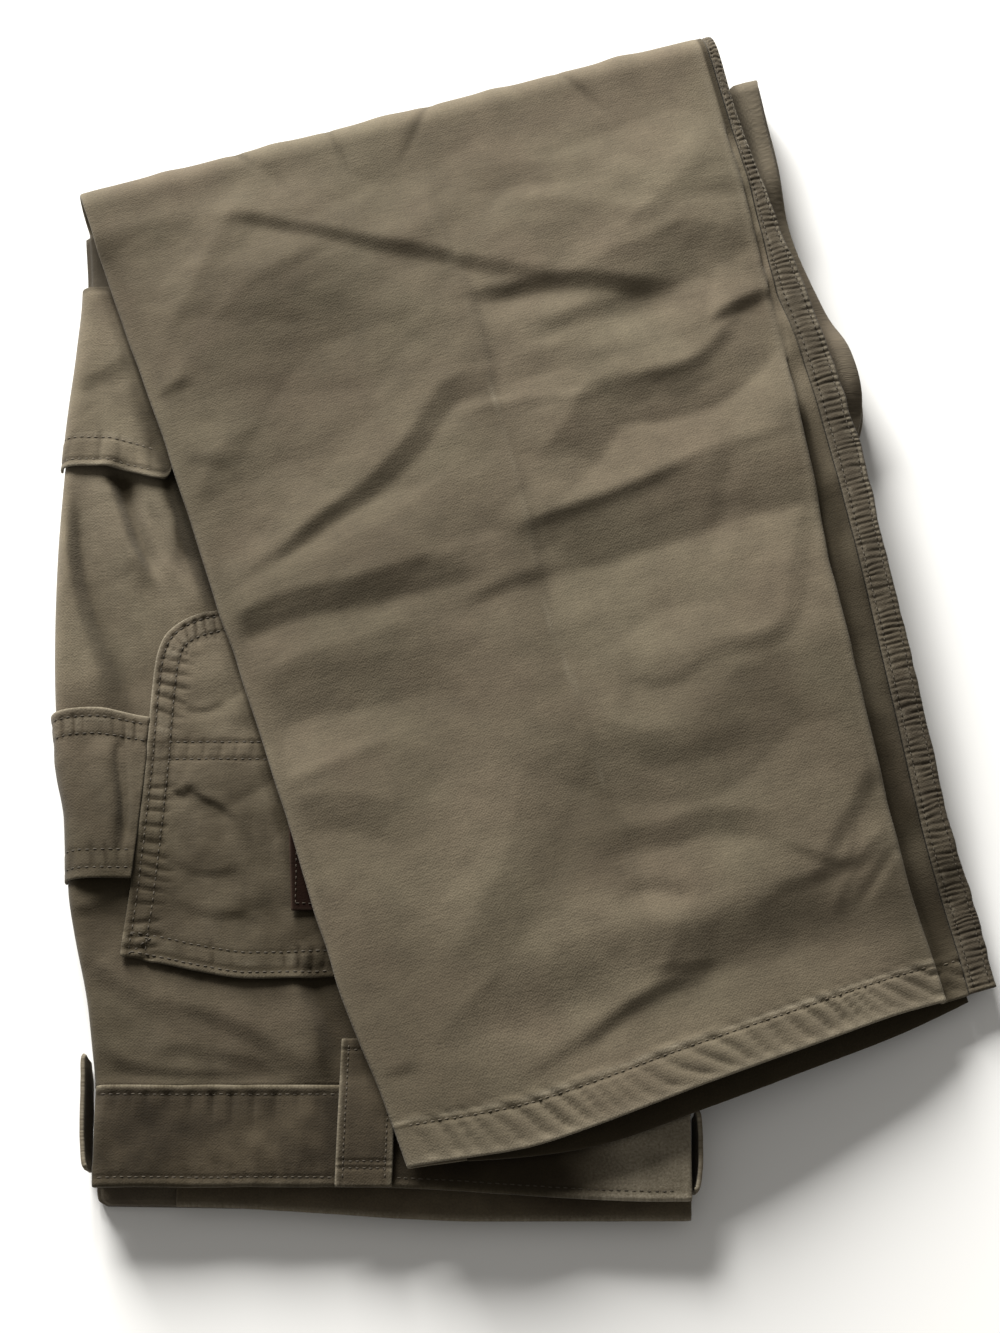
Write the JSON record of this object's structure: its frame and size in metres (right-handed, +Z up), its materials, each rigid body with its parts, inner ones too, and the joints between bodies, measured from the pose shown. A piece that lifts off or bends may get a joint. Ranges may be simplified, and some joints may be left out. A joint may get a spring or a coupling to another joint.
{
  "type": "folded carpenter pants",
  "caption": "Canvas carpenter pants folded lengthwise and over at the knee, lying flat with the back outside: seat, patch pocket, tool loop, belt loops and felled inseam show.",
  "frame": {"origin": "centre of the bounding box, on the surface that the folded pants lie on", "axes": "+Y from the waistband towards the knee fold, +X towards the inseam of the top leg, +Z up through the layers"},
  "size_m": [0.416, 0.5668, 0.0321],
  "materials": {
    "leg_canvas": "olive-brown cotton duck canvas, washed and creased",
    "seat_canvas": "olive-brown cotton duck canvas, washed",
    "pocket_canvas": "olive-brown cotton duck canvas with worn edges",
    "band_canvas": "doubled cotton duck canvas, mottled by washing",
    "seam_canvas": "flat-felled canvas seam, puckered and worn",
    "layers_canvas": "edges of the folded canvas layers below",
    "label_leather": "dark red-brown leather patch with a matt face"
  },
  "bodies": {
    "root": {"folded_layers": "layers_canvas", "seat_panel": "seat_canvas", "back_pocket": "pocket_canvas", "pocket_label": "label_leather", "hammer_loop": "pocket_canvas", "tool_pocket": "pocket_canvas", "waistband": "band_canvas", "front_waistband": "band_canvas", "back_belt_loop": "band_canvas", "side_belt_loop": "band_canvas", "centre_belt_loop": "band_canvas", "leg_back_panel": "leg_canvas", "leg_front_panel": "leg_canvas", "inseam": "seam_canvas"}
  },
  "joints": []
}
